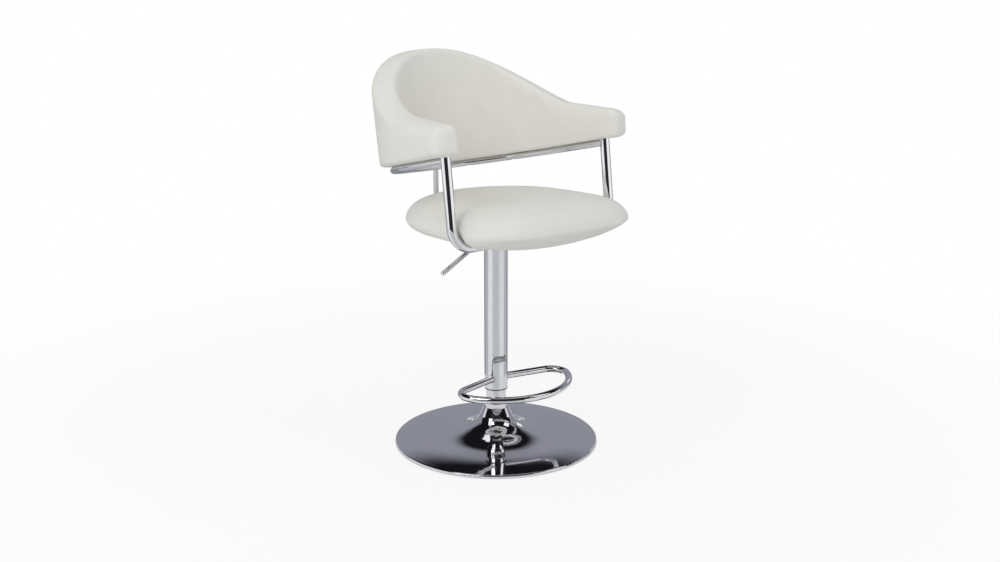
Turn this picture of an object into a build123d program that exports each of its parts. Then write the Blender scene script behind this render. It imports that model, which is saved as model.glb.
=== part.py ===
from build123d import *
import os
from math import cos, pi, radians, sin, sqrt, tan

os.makedirs("parts", exist_ok=True)

# Adjustable swivel stool, in millimetres, standing at its lowest height.
# The origin is on the floor at the centre of the base, +Z is up and the sitter faces -Y.

# Round base
BASE_R = 241.0
SHELL_T = 1.5
RIM_LIFT = 1.0
EDGE_IN, EDGE_Z, EDGE_BEND = 46.0, 16.5, 500.0
SKIRT_R, SKIRT_Z, SKIRT_BEND = 110.0, 21.8, 180.0
THROAT_OUT, THROAT_Z, THROAT_BEND = 19.2, 44.0, 55.0
NECK_Z = 86.0
FLOOR_RING_W, FLOOR_RING_T = 15.0, 2.5
PLATE_T = 4.5
PLATE_EDGE_GAP = 2.5
HUB_WALL = 3.5
HUB_FLANGE_T, HUB_FLANGE_EDGE = 4.0, 16.0
HUB_SCREW_R, HUB_SCREW_HEAD_R = 4.0, 7.0
HUB_SCREW_COUNT, HUB_SCREW_OUT = 4, 19.0
COLLAR_H, COLLAR_W = 14.0, 5.0

# Gas lift
STROKE = 200.0
CYL_R, CYL_WALL = 14.0, 1.5
CYL_HEAD_T = 5.0
CYL_FOOT_GAP = 6.0
GLAND_H = 30.0
GUIDE_WALL, STAND_WALL = 7.42, 2.0
STAND_BOTTOM_Z, STAND_HEADROOM = 22.0, 68.0
BUSH_H, BUSH_LIP = 90.0, 3.0
END_DISC_IN, END_DISC_T = 2.0, 6.0
ROD_R, ROD_TAIL = 5.0, 10.0
ROD_SHOULDER_W, ROD_SHOULDER_H = 3.0, 4.0
CLIP_W, CLIP_T = 4.0, 2.0
RACE_W, RACE_T = 8.5, 2.0
BALL_R, BALL_COUNT = 2.0, 9
PISTON_H, PISTON_SPARE = 15.0, 7.0
BUTTON_R, BUTTON_STEM, BUTTON_OUT = 4.0, 7.0, 7.4

# Cover tube and footrest
COVER_BUSH_WALL, COVER_WALL = 2.2, 1.5
BARE_STAND_H = 34.0
COVER_RING_H, COVER_RING_GRIP = 2.5, 16.0
COVER_LEVER_GAP = 6.0
CAP_H = 12.0
FOOT_TUBE_R, FOOT_WALL = 8.0, 1.5
FOOT_RISE = 26.0
FOOT_R, FOOT_CENTRE_Y = 165.0, -11.0
FOOT_CORNER_ANGLE = 11.6
FOOT_BEND = 38.0
FOOT_ROOT = (12.0, -10.6)

# Seat
SEAT_UNDER_Z = 536.0
SEAT_LIP = 14.0
SEAT_FRONT_Y = -291.5
SEAT_SIDE_GAP, SEAT_REAR_IN = 1.0, 44.0
SEAT_CORNER_R, SEAT_FRONT_BOW = 137.0, 25.0
SEAT_DRAW_IN, SEAT_FRONT_TUCK, BELT_RISE = 50.0, 36.0, 29.5
SEAT_TILT = 1.5
CROWN_HALF_W, CROWN_RISE, CROWN_POWER = 97.0, 44.5, 0.59
CORNER_SHRINK = 0.45
LAYER_STEP, CROWN_ANGLE = 10, 80
BOARD_T, BOARD_EDGE_IN = 12.0, 6.0
DUST_T, DUST_EDGE_IN = 1.0, 7.0
NOTCH_GAP = 1.5

# Mount plate, hub and release lever under the seat
MOUNT_SIDE_IN = 116.5
MOUNT_D, MOUNT_T, MOUNT_CORNER = 170.0, 3.0, 15.0
MOUNT_BOLT_IN = 20.0
HUB_GRIP = 25.0
TAPER_HUB_WALL = 7.0
LEVER_R = 5.0
LEVER_HEADING = 20.0
LEVER_DROP = 25.0
LEVER_REACH, LEVER_FALL = 226.0, 51.5
LEVER_ELBOW_OUT, LEVER_ELBOW_BEND = 6.0, 60.0
LEVER_TAIL, LEVER_TIP_FLAT = 2.0, 1.0
PIVOT_OUT, PIVOT_R = 9.0, 2.0
EAR_T, EAR_GAP, EAR_BELOW, EAR_HALF = 2.5, 1.5, 5.0, 7.0
BRACKET_T = 3.0
BUTTON_GAP = 0.6

# Bolts into the seat board
BOLT_R, BOLT_HEAD_W, BOLT_HEAD_H = 4.0, 2.5, 5.0
BOLT_SHORT = 2.0
NUT_WALL, NUT_FLANGE_W, NUT_FLANGE_T = 1.5, 4.5, 1.5

# Chrome frame that carries the back
FRAME_HALF_W = 228.5
UPRIGHT_R, UPRIGHT_WALL = 11.0, 1.5
UPRIGHT_Y, UPRIGHT_RISE = -116.0, 181.0
UPRIGHT_LEAN = 7.0
FRAME_BEND = 48.0
FRAME_TAB_IN, FRAME_TAB_W, FRAME_TAB_EDGE = 128.5, 50.0, 10.0
FRAME_BOLT_OUT = 14.0
UPRIGHT_CAP_H = 12.0
RAIL_R, RAIL_WALL = 8.0, 1.5
RAIL_SLOPE = 12.35
REAR_R, REAR_WALL = 6.25, 1.2
REAR_BEND = 45.0
REAR_FOOT_GAP = 19.0
SCREW_R, SCREW_HEAD_R, SCREW_HEAD_H = 2.3, 4.5, 2.5
SCREW_BITE = 14.0
SCREW_ANGLES = (22.0, 50.0, 78.0)

# Upholstered back with arms
PAD_T, PAD_RIM_FLAT = 60.0, 21.0
PAD_CENTRE_Y = 12.5
PAD_HEM_R = 9.0
ARM_SPLAY = 5.7
ARM_END_OUT = 9.0
ARM_H, BACK_H = 65.4, 196.8
RIM_LEVEL, RIM_HOLD = 92.0, 1.12
PAD_STATIONS = 21
BACK_BOARD_T, BACK_BOARD_TOP_IN, BACK_BOARD_END_IN = 9.0, 34.0, 22.0

# Clearances
RUN_GAP = 0.08
SLIDE_GAP = 0.3
SOFT_GAP = 0.5
HOLE_GAP = 0.2

# Sizes and levels that follow from those above, from the floor up
PLATE_R = BASE_R - SHELL_T - PLATE_EDGE_GAP
PLATE_TOP_Z = FLOOR_RING_T + PLATE_T
RIM_H = PLATE_TOP_Z - RIM_LIFT + SHELL_T
STAND_BORE = CYL_R + RUN_GAP + GUIDE_WALL
STAND_R = STAND_BORE + STAND_WALL
HUB_R = STAND_R + HUB_WALL
HUB_SCREW_CIRCLE_R = HUB_R + HUB_SCREW_OUT
HUB_FLANGE_R = HUB_SCREW_CIRCLE_R + HUB_FLANGE_EDGE
NECK_R = HUB_R + SLIDE_GAP + SHELL_T
END_DISC_Z = STAND_BOTTOM_Z + END_DISC_IN
END_DISC_TOP_Z = END_DISC_Z + END_DISC_T
RACE_R = ROD_R + RACE_W
RACE_TOP_Z = END_DISC_TOP_Z + RACE_T
BALL_Z = RACE_TOP_Z + BALL_R + RUN_GAP
UPPER_RACE_Z = BALL_Z + BALL_R
SHOULDER_Z = UPPER_RACE_Z + RACE_T
CYL_BORE = CYL_R - CYL_WALL
CYL_FOOT_Z = SHOULDER_Z + ROD_SHOULDER_H + CYL_FOOT_GAP
PISTON_Z = CYL_FOOT_Z + GLAND_H + STROKE + PISTON_SPARE
COVER_BORE = STAND_R + SLIDE_GAP + COVER_BUSH_WALL
COVER_R = COVER_BORE + COVER_WALL
COVER_BOTTOM_Z = NECK_Z + COLLAR_H + BARE_STAND_H
FOOT_Z = COVER_BOTTOM_Z + FOOT_RISE
SEAT_HALF_W = FRAME_HALF_W - UPRIGHT_R - SEAT_SIDE_GAP
MOUNT_W = 2 * (SEAT_HALF_W - MOUNT_SIDE_IN)
MOUNT_Z = SEAT_UNDER_Z - MOUNT_T
MOUNT_BOLT_X = MOUNT_W / 2 - MOUNT_BOLT_IN
MOUNT_BOLT_Y = MOUNT_D / 2 - MOUNT_BOLT_IN
LEVER_Z = MOUNT_Z - LEVER_DROP
BUTTON_TOP_Z = LEVER_Z - LEVER_R - BUTTON_GAP
CYL_TOP_Z = BUTTON_TOP_Z - BUTTON_OUT
TAPER_HUB_Z = CYL_TOP_Z - HUB_GRIP
TAPER_HUB_R = CYL_R + TAPER_HUB_WALL
PIVOT_REACH = TAPER_HUB_R + PIVOT_OUT
COVER_TOP_Z = LEVER_Z - LEVER_R - COVER_LEVER_GAP
CAP_Z = TAPER_HUB_Z - CAP_H
STAND_TOP_Z = CAP_Z - STAND_HEADROOM
BOARD_Z = SEAT_UNDER_Z + DUST_T
BOARD_TOP_Z = BOARD_Z + BOARD_T
LIP_Z = BOARD_Z - SEAT_LIP
BELT_Z = LIP_Z + BELT_RISE
BOARD_IN = SEAT_DRAW_IN + BOARD_EDGE_IN
DUST_IN = SEAT_DRAW_IN + DUST_EDGE_IN
BOLT_LENGTH = BOARD_TOP_Z - MOUNT_Z - BOLT_SHORT
NUT_R = BOLT_R + NUT_WALL
NUT_FLANGE_R = NUT_R + NUT_FLANGE_W
SEAT_REAR_Y = PAD_CENTRE_Y + FRAME_HALF_W - SEAT_REAR_IN
CROWN_IN = (SEAT_HALF_W - CROWN_HALF_W) / (1 - cos(radians(CROWN_ANGLE)) ** CROWN_POWER)
LEAN_T = tan(radians(UPRIGHT_LEAN))
LEAN_DIR = Vector(0, sin(radians(UPRIGHT_LEAN)), cos(radians(UPRIGHT_LEAN)))
SLOPE_T = tan(radians(RAIL_SLOPE))
UPRIGHT_TOP_Z = SEAT_UNDER_Z + UPRIGHT_RISE
FRAME_RUN_Z = MOUNT_Z - UPRIGHT_R
FRAME_RUN_Y = UPRIGHT_Y - (UPRIGHT_TOP_Z - FRAME_RUN_Z) * LEAN_T
FRAME_TAB_X = SEAT_HALF_W - FRAME_TAB_IN
FRAME_BOLT_REACH = UPRIGHT_R + FRAME_BOLT_OUT
REAR_FOOT_Y = TAPER_HUB_R + REAR_FOOT_GAP
REAR_FOOT_Z = MOUNT_Z - REAR_R
PAD_RIM_R = (PAD_T - PAD_RIM_FLAT) / 2
SCREW_SEAT = sqrt((RAIL_R - RAIL_WALL) ** 2 - (SCREW_HEAD_R + HOLE_GAP) ** 2)
ARM_END_Y = UPRIGHT_Y - ARM_END_OUT
ARM_TOP_Z = UPRIGHT_TOP_Z + ARM_H
BACK_TOP_Z = UPRIGHT_TOP_Z + BACK_H


def ring(outer, inner, bottom, height):
    """Add a plain ring about the column axis."""
    with BuildSketch(Plane.XY.offset(bottom)) as profile:
        Circle(outer)
        Circle(inner, mode=Mode.SUBTRACT)
    extrude(profile.sketch, amount=height)


def tube_section(line, outer, wall=0.0):
    """Draw a round tube's section, or a bar's, square to the start of its path."""
    with BuildSketch(Plane(line @ 0, z_dir=line % 0)) as profile:
        Circle(outer)
        if wall:
            Circle(outer - wall, mode=Mode.SUBTRACT)
    return profile.sketch


# Base

with BuildPart() as floor_ring:
    ring(PLATE_R, PLATE_R - FLOOR_RING_W, 0, FLOOR_RING_T)
    fillet(floor_ring.edges().group_by(Axis.Z)[0], FLOOR_RING_T / 4)
floor_ring.part.label = "floor_ring"
export_step(floor_ring.part, "parts/floor_ring.step")

with BuildPart() as ballast_plate:
    ring(PLATE_R, STAND_BORE, FLOOR_RING_T, PLATE_T)
    with Locations(Plane(origin=(0, 0, FLOOR_RING_T), z_dir=(0, 0, -1))):
        with PolarLocations(HUB_SCREW_CIRCLE_R, HUB_SCREW_COUNT):
            CounterSinkHole(HUB_SCREW_R + HOLE_GAP, HUB_SCREW_HEAD_R + HOLE_GAP, PLATE_T)
ballast_plate.part.label = "ballast_plate"
export_step(ballast_plate.part, "parts/ballast_plate.step")

with BuildPart() as base_shell:
    with BuildSketch(Plane.XZ):
        with BuildLine():
            flare = FilletPolyline(
                (BASE_R, RIM_LIFT),
                (BASE_R, RIM_LIFT + RIM_H),
                (BASE_R - EDGE_IN, EDGE_Z),
                (SKIRT_R, SKIRT_Z),
                (NECK_R + THROAT_OUT, THROAT_Z),
                (NECK_R, NECK_Z),
                radius=[RIM_H / 2, EDGE_BEND, SKIRT_BEND, THROAT_BEND],
            )
            offset(flare, amount=SHELL_T, side=Side.LEFT)
        make_face()
    revolve(axis=Axis.Z)
base_shell.part.label = "base_shell"
export_step(base_shell.part, "parts/base_shell.step")

with BuildPart() as base_hub:
    ring(HUB_FLANGE_R, STAND_R, PLATE_TOP_Z, HUB_FLANGE_T)
    ring(HUB_R, STAND_R, PLATE_TOP_Z, NECK_Z - PLATE_TOP_Z)
    with Locations((0, 0, PLATE_TOP_Z + HUB_FLANGE_T)):
        with PolarLocations(HUB_SCREW_CIRCLE_R, HUB_SCREW_COUNT):
            Hole(HUB_SCREW_R + HOLE_GAP, HUB_FLANGE_T)
base_hub.part.label = "base_hub"
export_step(base_hub.part, "parts/base_hub.step")

with BuildPart() as hub_screws:
    with Locations((0, 0, FLOOR_RING_T)):
        with PolarLocations(HUB_SCREW_CIRCLE_R, HUB_SCREW_COUNT):
            Cylinder(HUB_SCREW_R, PLATE_T + HUB_FLANGE_T, align=(Align.CENTER, Align.CENTER, Align.MIN))
            Cone(
                HUB_SCREW_HEAD_R,
                HUB_SCREW_R,
                HUB_SCREW_HEAD_R - HUB_SCREW_R,
                align=(Align.CENTER, Align.CENTER, Align.MIN),
            )
hub_screws.part.label = "hub_screws"
export_step(hub_screws.part, "parts/hub_screws.step")

with BuildPart() as base_collar:
    ring(STAND_R + COLLAR_W, STAND_R, NECK_Z, COLLAR_H)
    fillet(base_collar.edges().group_by(Axis.Z)[-1].sort_by(SortBy.RADIUS)[-1], COLLAR_W * 0.6)
base_collar.part.label = "base_collar"
export_step(base_collar.part, "parts/base_collar.step")

with BuildPart() as stand_tube:
    ring(STAND_R, STAND_BORE, STAND_BOTTOM_Z, STAND_TOP_Z - STAND_BOTTOM_Z)
stand_tube.part.label = "stand_tube"
export_step(stand_tube.part, "parts/stand_tube.step")

with BuildPart() as tube_end_disc:
    ring(STAND_BORE, ROD_R + RUN_GAP, END_DISC_Z, END_DISC_T)
tube_end_disc.part.label = "tube_end_disc"
export_step(tube_end_disc.part, "parts/tube_end_disc.step")

with BuildPart() as lower_race:
    ring(RACE_R, ROD_R + SLIDE_GAP, END_DISC_TOP_Z, RACE_T)
lower_race.part.label = "lower_race"
export_step(lower_race.part, "parts/lower_race.step")

with BuildPart() as guide_bush:
    ring(STAND_BORE, CYL_R + RUN_GAP, STAND_TOP_Z - BUSH_H, BUSH_H)
    ring(STAND_R, CYL_R + RUN_GAP, STAND_TOP_Z, BUSH_LIP)
guide_bush.part.label = "guide_bush"
export_step(guide_bush.part, "parts/guide_bush.step")

# Rod, which turns on the thrust bearing

with BuildPart() as bearing_balls:
    with Locations((0, 0, BALL_Z)):
        with PolarLocations((ROD_R + RACE_R) / 2, BALL_COUNT):
            Sphere(BALL_R)
bearing_balls.part.label = "bearing_balls"
export_step(bearing_balls.part, "parts/bearing_balls.step")

with BuildPart() as upper_race:
    ring(RACE_R, ROD_R, UPPER_RACE_Z, RACE_T)
upper_race.part.label = "upper_race"
export_step(upper_race.part, "parts/upper_race.step")

with BuildPart() as piston_rod:
    with BuildSketch(Plane.XY.offset(END_DISC_Z - ROD_TAIL)):
        Circle(ROD_R)
    extrude(amount=PISTON_Z + PISTON_H - END_DISC_Z + ROD_TAIL)
    with BuildSketch(Plane.XY.offset(SHOULDER_Z)):
        Circle(ROD_R + ROD_SHOULDER_W)
    extrude(amount=ROD_SHOULDER_H)
piston_rod.part.label = "piston_rod"
export_step(piston_rod.part, "parts/piston_rod.step")

with BuildPart() as rod_clip:
    ring(ROD_R + CLIP_W, ROD_R, END_DISC_Z - SLIDE_GAP - CLIP_T, CLIP_T)
rod_clip.part.label = "rod_clip"
export_step(rod_clip.part, "parts/rod_clip.step")

with BuildPart() as piston:
    ring(CYL_BORE - RUN_GAP, ROD_R, PISTON_Z, PISTON_H)
piston.part.label = "piston"
export_step(piston.part, "parts/piston.step")

# Lift cylinder, cover tube and footrest

with BuildPart() as cylinder:
    ring(CYL_R, CYL_BORE, CYL_FOOT_Z, CYL_TOP_Z - CYL_FOOT_Z)
    ring(CYL_BORE, BUTTON_R + RUN_GAP, CYL_TOP_Z - CYL_HEAD_T, CYL_HEAD_T)
cylinder.part.label = "cylinder"
export_step(cylinder.part, "parts/cylinder.step")

with BuildPart() as cylinder_gland:
    ring(CYL_BORE, ROD_R + RUN_GAP, CYL_FOOT_Z, GLAND_H)
cylinder_gland.part.label = "cylinder_gland"
export_step(cylinder_gland.part, "parts/cylinder_gland.step")

with BuildPart() as cover_tube:
    ring(COVER_R, COVER_BORE, COVER_BOTTOM_Z, COVER_TOP_Z - COVER_BOTTOM_Z)
cover_tube.part.label = "cover_tube"
export_step(cover_tube.part, "parts/cover_tube.step")

with BuildPart() as cover_bush:
    ring(COVER_R, STAND_R + SLIDE_GAP, COVER_BOTTOM_Z - COVER_RING_H, COVER_RING_H)
    ring(COVER_BORE, STAND_R + SLIDE_GAP, COVER_BOTTOM_Z, COVER_RING_GRIP)
cover_bush.part.label = "cover_bush"
export_step(cover_bush.part, "parts/cover_bush.step")

with BuildPart() as tube_cap:
    ring(COVER_BORE, CYL_R, CAP_Z, CAP_H)
tube_cap.part.label = "tube_cap"
export_step(tube_cap.part, "parts/tube_cap.step")

with BuildPart() as footrest:
    with BuildLine(Plane.XY.offset(FOOT_Z)) as foot_line:
        bow = CenterArc((0, FOOT_CENTRE_Y), FOOT_R, -FOOT_CORNER_ANGLE, 2 * FOOT_CORNER_ANGLE - 180)
        Line(FOOT_ROOT, bow @ 0)
        Line(bow @ 1, (-FOOT_ROOT[0], FOOT_ROOT[1]))
        fillet(foot_line.vertices().group_by(SortBy.DISTANCE)[-1], FOOT_BEND)
    sweep(tube_section(foot_line.wire(), FOOT_TUBE_R, FOOT_WALL), path=foot_line.wire())
    with BuildSketch(Plane.XY.offset(FOOT_Z - 2 * FOOT_TUBE_R)):
        Circle(COVER_R)
    extrude(amount=4 * FOOT_TUBE_R, mode=Mode.SUBTRACT)
footrest.part.label = "footrest"
export_step(footrest.part, "parts/footrest.step")

# Hub and plate under the seat, with the release lever

lever_dir = Vector(-cos(radians(LEVER_HEADING)), -sin(radians(LEVER_HEADING)), 0)
lever_plane = Plane((0, 0, 0), x_dir=lever_dir, z_dir=lever_dir.cross(Vector(0, 0, 1)))
pivot_plane = Plane(lever_dir * PIVOT_REACH + Vector(0, 0, LEVER_Z), x_dir=lever_dir, z_dir=lever_plane.z_dir)
ear_inner = LEVER_R + EAR_GAP

with BuildPart() as taper_hub:
    ring(TAPER_HUB_R, CYL_R, TAPER_HUB_Z, MOUNT_Z - TAPER_HUB_Z)
    with BuildSketch(lever_plane):
        with Locations((0, CYL_TOP_Z)):
            Rectangle(2 * PIVOT_REACH, MOUNT_Z - CYL_TOP_Z, align=(Align.MIN, Align.MIN))
    extrude(amount=ear_inner, both=True, mode=Mode.SUBTRACT)
taper_hub.part.label = "taper_hub"
export_step(taper_hub.part, "parts/taper_hub.step")

with BuildPart() as mount_plate:
    with BuildSketch(Plane.XY.offset(MOUNT_Z)):
        RectangleRounded(MOUNT_W, MOUNT_D, MOUNT_CORNER)
        with GridLocations(2 * MOUNT_BOLT_X, 2 * MOUNT_BOLT_Y, 2, 2):
            Circle(BOLT_R + HOLE_GAP, mode=Mode.SUBTRACT)
    extrude(amount=MOUNT_T)
mount_plate.part.label = "mount_plate"
export_step(mount_plate.part, "parts/mount_plate.step")

with BuildPart() as lever_bracket:
    with BuildSketch(lever_plane):
        with Locations((PIVOT_REACH, MOUNT_Z)):
            Rectangle(2 * EAR_HALF, LEVER_DROP + EAR_BELOW, align=(Align.CENTER, Align.MAX))
    extrude(amount=ear_inner + EAR_T, both=True)
    across_edges = lever_bracket.edges().filter_by(Axis((0, 0, 0), lever_plane.z_dir))
    fillet(across_edges.group_by(Axis.Z)[0], EAR_HALF / 2)
    with BuildSketch(lever_plane):
        with Locations((PIVOT_REACH, MOUNT_Z - BRACKET_T)):
            Rectangle(4 * EAR_HALF, LEVER_DROP + EAR_BELOW, align=(Align.CENTER, Align.MAX))
    extrude(amount=ear_inner, both=True, mode=Mode.SUBTRACT)
    with BuildSketch(pivot_plane):
        Circle(PIVOT_R)
    extrude(amount=ear_inner + 2 * EAR_T, both=True, mode=Mode.SUBTRACT)
lever_bracket.part.label = "lever_bracket"
export_step(lever_bracket.part, "parts/lever_bracket.step")

with BuildPart() as lever_pin:
    with BuildSketch(pivot_plane):
        Circle(PIVOT_R)
    extrude(amount=ear_inner + EAR_T + PIVOT_R / 2, both=True)
lever_pin.part.label = "lever_pin"
export_step(lever_pin.part, "parts/lever_pin.step")

with BuildPart() as lever:
    with BuildLine(lever_plane) as lever_line:
        FilletPolyline(
            (-LEVER_TAIL, LEVER_Z),
            (PIVOT_REACH + LEVER_ELBOW_OUT, LEVER_Z),
            (LEVER_REACH, LEVER_Z - LEVER_FALL),
            radius=LEVER_ELBOW_BEND,
        )
    sweep(tube_section(lever_line.wire(), LEVER_R), path=lever_line.wire())
    tip = lever_line.wire() @ 1
    fillet(lever.edges().filter_by(GeomType.CIRCLE).sort_by_distance(tip)[0], LEVER_R - LEVER_TIP_FLAT)
    with BuildSketch(pivot_plane):
        Circle(PIVOT_R + RUN_GAP)
    extrude(amount=2 * LEVER_R, both=True, mode=Mode.SUBTRACT)
lever.part.label = "lever"
export_step(lever.part, "parts/lever.step")

with BuildPart() as release_button:
    with BuildSketch(Plane.XY.offset(CYL_TOP_Z - BUTTON_STEM)):
        Circle(BUTTON_R)
    extrude(amount=BUTTON_TOP_Z - CYL_TOP_Z + BUTTON_STEM)
    fillet(release_button.edges().group_by(Axis.Z)[-1], BUTTON_R / 4)
release_button.part.label = "release_button"
export_step(release_button.part, "parts/release_button.step")

# Front frame: one tube bent into both uprights and the run under the seat

frame_plane = Plane((0, FRAME_RUN_Y, FRAME_RUN_Z), x_dir=(1, 0, 0), z_dir=(0, -LEAN_DIR.Z, LEAN_DIR.Y))
upright_length = (UPRIGHT_TOP_Z - FRAME_RUN_Z) / LEAN_DIR.Z
pad_foot_plane = Plane(
    (0, UPRIGHT_Y, UPRIGHT_TOP_Z),
    x_dir=(1, 0, 0),
    z_dir=(0, sin(radians(RAIL_SLOPE)), cos(radians(RAIL_SLOPE))),
)

with BuildLine(frame_plane) as frame_line:
    FilletPolyline(
        (-FRAME_HALF_W, upright_length + UPRIGHT_R),
        (-FRAME_HALF_W, 0),
        (FRAME_HALF_W, 0),
        (FRAME_HALF_W, upright_length + UPRIGHT_R),
        radius=FRAME_BEND,
    )

with BuildPart() as front_frame:
    sweep(tube_section(frame_line.wire(), UPRIGHT_R, UPRIGHT_WALL), path=frame_line.wire())
    split(bisect_by=pad_foot_plane.offset(-SOFT_GAP), keep=Keep.BOTTOM)
front_frame.part.label = "front_frame"
export_step(front_frame.part, "parts/front_frame.step")

with BuildPart() as upright_caps:
    for side in (-1, 1):
        with BuildSketch(frame_plane):
            with Locations((side * FRAME_HALF_W, upright_length + UPRIGHT_R)):
                Rectangle(
                    UPRIGHT_R - UPRIGHT_WALL,
                    UPRIGHT_R + 2 * UPRIGHT_CAP_H,
                    align=(Align.MIN, Align.MAX),
                )
        revolve(axis=Axis((side * FRAME_HALF_W, FRAME_RUN_Y, FRAME_RUN_Z), LEAN_DIR))
    split(bisect_by=pad_foot_plane.offset(-SOFT_GAP), keep=Keep.BOTTOM)
    split(bisect_by=pad_foot_plane.offset(-SOFT_GAP - UPRIGHT_CAP_H), keep=Keep.TOP)
upright_caps.part.label = "upright_caps"
export_step(upright_caps.part, "parts/upright_caps.step")

with BuildPart() as frame_tabs:
    with BuildSketch(Plane.XY.offset(MOUNT_Z)):
        with Locations((-FRAME_TAB_X, FRAME_RUN_Y), (FRAME_TAB_X, FRAME_RUN_Y)):
            RectangleRounded(FRAME_TAB_W, 2 * (FRAME_BOLT_REACH + FRAME_TAB_EDGE), FRAME_TAB_W / 5)
        with Locations((0, FRAME_RUN_Y)):
            with GridLocations(2 * FRAME_TAB_X, 2 * FRAME_BOLT_REACH, 2, 2):
                Circle(BOLT_R + HOLE_GAP, mode=Mode.SUBTRACT)
    extrude(amount=MOUNT_T)
frame_tabs.part.label = "frame_tabs"
export_step(frame_tabs.part, "parts/frame_tabs.step")

# Rail under the back and the rear upright

rail_drop = RAIL_R + SOFT_GAP
pad_foot_y = PAD_CENTRE_Y - LEAN_T * SLOPE_T * (PAD_CENTRE_Y - UPRIGHT_Y) / (1 + SLOPE_T * LEAN_T)
rail_along = (pad_foot_y - UPRIGHT_Y) / cos(radians(RAIL_SLOPE))
rail_plane = pad_foot_plane.offset(-rail_drop)

with BuildLine(rail_plane) as rail_line:
    Line((FRAME_HALF_W, 0), (FRAME_HALF_W, rail_along))
    CenterArc((0, rail_along), FRAME_HALF_W, 0, 90)
    CenterArc((0, rail_along), FRAME_HALF_W, 90, 90)
    Line((-FRAME_HALF_W, rail_along), (-FRAME_HALF_W, 0))

screw_places = []
for angle in SCREW_ANGLES:
    for side in (-1, 1):
        turn = radians(90 - side * angle)
        on_rail = (FRAME_HALF_W * cos(turn), rail_along + FRAME_HALF_W * sin(turn), 0)
        spot = rail_plane.from_local_coords(on_rail)
        screw_places.append(Plane(spot, x_dir=(1, 0, 0), z_dir=rail_plane.z_dir))

with BuildPart() as rail:
    sweep(tube_section(rail_line.wire(), RAIL_R, RAIL_WALL), path=rail_line.wire())
    for side in (-1, 1):
        with BuildSketch(Plane((side * FRAME_HALF_W, FRAME_RUN_Y, FRAME_RUN_Z), z_dir=LEAN_DIR)):
            Circle(UPRIGHT_R)
        extrude(amount=upright_length + UPRIGHT_R, mode=Mode.SUBTRACT)
    # Each screw's head goes in through the lower wall and bears on the upper one.
    with Locations(*screw_places):
        Cylinder(SCREW_R + HOLE_GAP, 4 * RAIL_R, mode=Mode.SUBTRACT)
        Cylinder(
            SCREW_HEAD_R + HOLE_GAP,
            2 * RAIL_R,
            align=(Align.CENTER, Align.CENTER, Align.MAX),
            mode=Mode.SUBTRACT,
        )
rail.part.label = "rail"
export_step(rail.part, "parts/rail.step")

rail_rear = rail_plane.from_local_coords((0, rail_along + FRAME_HALF_W, 0))

with BuildPart() as rear_upright:
    with BuildLine() as rear_line:
        FilletPolyline(
            rail_rear,
            (0, rail_rear.Y, REAR_FOOT_Z),
            (0, REAR_FOOT_Y, REAR_FOOT_Z),
            radius=REAR_BEND,
        )
    sweep(tube_section(rear_line.wire(), REAR_R, REAR_WALL), path=rear_line.wire())
    sweep(tube_section(rail_line.wire(), RAIL_R), path=rail_line.wire(), mode=Mode.SUBTRACT)
rear_upright.part.label = "rear_upright"
export_step(rear_upright.part, "parts/rear_upright.step")

with BuildPart() as pad_screws:
    for place in screw_places:
        with BuildSketch(place.offset(SCREW_SEAT - SCREW_HEAD_H)):
            Circle(SCREW_HEAD_R)
        extrude(amount=SCREW_HEAD_H)
        with BuildSketch(place.offset(SCREW_SEAT)):
            Circle(SCREW_R)
        extrude(amount=rail_drop + SCREW_BITE - SCREW_SEAT)
pad_screws.part.label = "pad_screws"
export_step(pad_screws.part, "parts/pad_screws.step")


# Upholstered back: the section stands on the rail, leans back with the uprights and follows
# a plan of one rear arc and two straight arms that splay towards the front.

rear_turn = radians(90 - ARM_SPLAY)
arm_length = (PAD_CENTRE_Y + FRAME_HALF_W * cos(rear_turn) - ARM_END_Y) / sin(rear_turn)
pad_reach = FRAME_HALF_W * rear_turn + arm_length
rim_fall = pad_reach - RIM_LEVEL
board_reach = pad_reach - BACK_BOARD_END_IN


def pad_plane(along):
    """Plane of the back's section, at a signed distance from the rear centre along the plan line."""
    side = 1 if along >= 0 else -1
    turn = min(abs(along) / FRAME_HALF_W, rear_turn)
    ahead = abs(along) - turn * FRAME_HALF_W
    outward = Vector(side * sin(turn), cos(turn), 0)
    x = side * (FRAME_HALF_W * sin(turn) + ahead * cos(turn))
    y = PAD_CENTRE_Y + FRAME_HALF_W * cos(turn) - ahead * sin(turn)
    drop = SLOPE_T * (y - UPRIGHT_Y) / (1 + SLOPE_T * LEAN_T)
    across = (outward - LEAN_DIR * outward.dot(LEAN_DIR)).normalized()
    foot = Vector(x, y - LEAN_T * drop, UPRIGHT_TOP_Z - drop)
    return Plane(foot, x_dir=across, z_dir=across.cross(LEAN_DIR))


def pad_height(along):
    """Height of the back along its lean: the rim holds its level at the rear, then falls by a half cosine."""
    share = (1 + cos(pi * min(abs(along) / rim_fall, 1) ** RIM_HOLD)) / 2
    rim_z = ARM_TOP_Z + (BACK_TOP_Z - ARM_TOP_Z) * share
    return (rim_z - pad_plane(along).origin.Z) / LEAN_DIR.Z


def pad_section(along, outer_half=False):
    """Draw the back's section, or its outer half: soft rim at the top, small rounding at the hem."""
    with BuildSketch(pad_plane(along)) as section:
        Rectangle(PAD_T, pad_height(along), align=(Align.CENTER, Align.MIN))
        fillet(section.vertices().group_by(Axis.Y)[0], PAD_HEM_R)
        fillet(section.vertices().group_by(Axis.Y)[-1], PAD_RIM_R)
        if outer_half:
            Rectangle(PAD_T, 4 * BACK_TOP_Z, align=(Align.MIN, Align.CENTER), mode=Mode.INTERSECT)
    return section.sketch


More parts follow.
